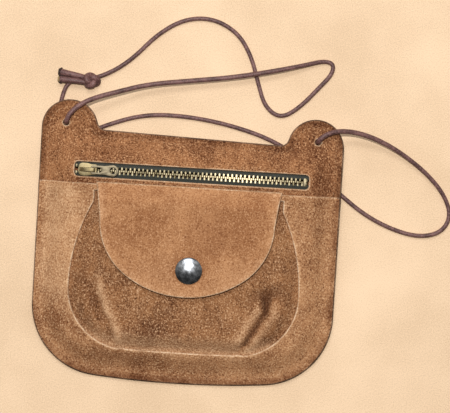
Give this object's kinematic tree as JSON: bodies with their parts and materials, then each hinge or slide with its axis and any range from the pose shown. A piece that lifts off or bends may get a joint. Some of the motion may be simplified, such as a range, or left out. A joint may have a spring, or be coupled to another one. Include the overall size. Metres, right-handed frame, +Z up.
{
  "type": "neck pouch wallet",
  "caption": "Flat suede pouch on a knotted neck cord, with a zipped compartment and a front pocket under a press-stud flap.",
  "frame": {"origin": "centre of the pouch's footprint, without the cord, on the surface that it lies on", "axes": "+Z up from the back panel to the flap, +X along the zip, +Y from the bottom edge to the ears; the pouch leans 3 degrees about X on the cord behind it"},
  "size_m": [0.2333, 0.2075, 0.0221],
  "materials": {
    "suede_back": "brushed suede",
    "suede_yoke": "worn suede",
    "suede_frame": "worn suede",
    "suede_pocket": "rough suede",
    "suede_flap": "smooth suede",
    "dark_nickel": "polished dark nickel",
    "zip_tape": "woven",
    "antique_brass": "antique",
    "slider_brass": "worn antique",
    "lace": "round leather lace"
  },
  "bodies": {
    "root": {"back_panel": "suede_back", "front_yoke": "suede_yoke", "front_frame": "suede_frame", "pocket_backing": "suede_pocket", "pocket_pouch": "suede_pocket", "flap_root": "suede_flap", "snap_stud": "dark_nickel", "snap_post": "dark_nickel", "zip_tape_upper": "zip_tape", "zip_tape_lower": "zip_tape", "zip_teeth_upper": "antique_brass", "zip_teeth_lower": "antique_brass", "zip_top_stops": "antique_brass", "zip_bottom_stop": "antique_brass", "neck_cord_left": "lace", "neck_cord_right": "lace", "neck_cord_rear": "lace", "cord_tails": "lace", "cord_knot": "lace"},
    "flap": {"flap": "suede_flap", "snap_cap": "dark_nickel", "snap_socket": "dark_nickel"},
    "slider": {"slider_body": "slider_brass", "slider_crown": "slider_brass"},
    "pull": {"pull_tab": "slider_brass"}
  },
  "joints": [
    {"name": "flap_hinge", "type": "hinge", "parent": "root", "child": "flap", "pos_m": [0, 0.02484, 0.02144], "axis": [-1, 0, 0], "range_deg": [0, 150]},
    {"name": "zip_slide", "type": "slide", "parent": "root", "child": "slider", "axis": [1, 0, 0], "range_m": [0, 0.114], "deforming": ["zip_teeth_upper", "zip_teeth_lower"]},
    {"name": "pull_hinge", "type": "hinge", "parent": "slider", "child": "pull", "pos_m": [-0.0548, 0.03909, 0.01704], "axis": [0, -0.9986, -0.0523], "range_deg": [0, 150]}
  ]
}
